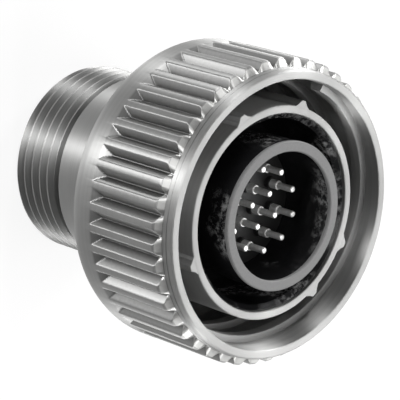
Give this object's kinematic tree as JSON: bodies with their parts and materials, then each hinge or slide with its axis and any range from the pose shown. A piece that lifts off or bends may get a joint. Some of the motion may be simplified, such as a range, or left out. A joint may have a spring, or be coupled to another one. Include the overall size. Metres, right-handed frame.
{
  "type": "circular plug connector with coupling ring",
  "caption": "Round cable plug: fluted turning collar with a coarse inner thread, keyed nose, round pins inside a tube, threaded rear barrel.",
  "frame": {"origin": "centre of the rear end face, the face that the part stands on", "axes": "+Z along the mating axis, from the rear thread towards the pins; angles of keys and pins are about +Z from +X"},
  "size_m": [0.0474, 0.0474, 0.0465],
  "materials": {
    "shell_metal": "turned, satin plated",
    "ring_metal": "turned and milled, satin plated",
    "spring_steel": "plain spring steel",
    "washer_plastic": "smooth low-friction plastic",
    "gasket_rubber": "matt black rubber",
    "insulator_plastic": "glossy black moulding",
    "end_ring_plastic": "flat grey",
    "seal_rubber": "dark rubber",
    "disc_plastic": "dark moulding",
    "grommet_rubber": "dark rubber",
    "contact_metal": "bright plated, turned"
  },
  "bodies": {
    "plug": {"plug_shell": "shell_metal", "retaining_ring": "spring_steel", "thrust_washer": "washer_plastic", "shell_gasket": "gasket_rubber", "front_insulator": "insulator_plastic", "tube_end_ring": "end_ring_plastic", "pin_face_seal": "seal_rubber", "contact_retention_disc": "disc_plastic", "rear_insulator": "disc_plastic", "rear_grommet": "grommet_rubber", "insert_retaining_ring": "spring_steel", "pin_contact_01": "contact_metal", "pin_contact_02": "contact_metal", "pin_contact_03": "contact_metal", "pin_contact_04": "contact_metal", "pin_contact_05": "contact_metal", "pin_contact_06": "contact_metal", "pin_contact_07": "contact_metal", "pin_contact_08": "contact_metal", "pin_contact_09": "contact_metal", "pin_contact_10": "contact_metal", "pin_contact_11": "contact_metal", "pin_contact_12": "contact_metal", "pin_contact_13": "contact_metal", "pin_contact_14": "contact_metal"},
    "ring": {"coupling_ring": "ring_metal"}
  },
  "joints": [
    {"name": "coupling_turn", "type": "hinge", "parent": "plug", "child": "ring", "pos_m": [0, 0, 0.0214], "axis": [0, 0, 1], "continuous": true}
  ]
}
